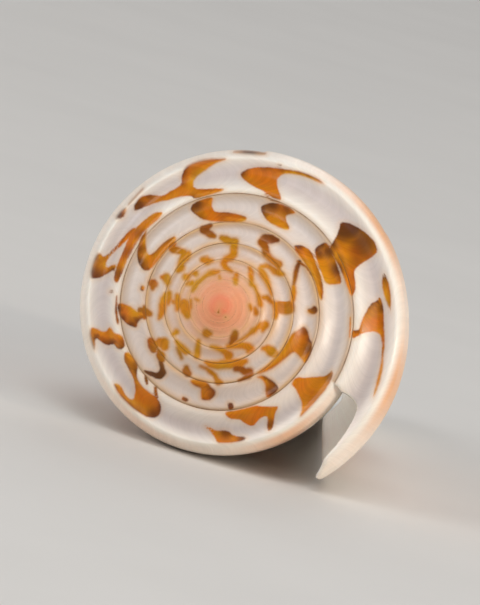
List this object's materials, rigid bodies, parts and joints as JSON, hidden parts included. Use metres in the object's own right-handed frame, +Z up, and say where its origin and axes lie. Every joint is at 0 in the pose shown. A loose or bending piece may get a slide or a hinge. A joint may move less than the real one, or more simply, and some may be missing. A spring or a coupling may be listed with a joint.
{
  "type": "governor cone shell",
  "caption": "Cone-shaped sea shell with a low stepped spire, a rounded shoulder and a long narrow mouth, lying on its side with the mouth down.",
  "frame": {"origin": "bottom centre of the bounding box, on the surface that the shell lies on", "axes": "+Z up; the shell's long axis lies along Y, its spire towards -Y and its narrow lower end towards +Y; +X is to the right when the spire is looked at"},
  "size_m": [0.038, 0.0742, 0.0351],
  "materials": {
    "shell": "glossy cream shell, lavender grey in the channels, with orange and dark-edged brown blotches and a coral apex"
  },
  "bodies": {
    "root": {"shell": "shell"}
  },
  "joints": []
}
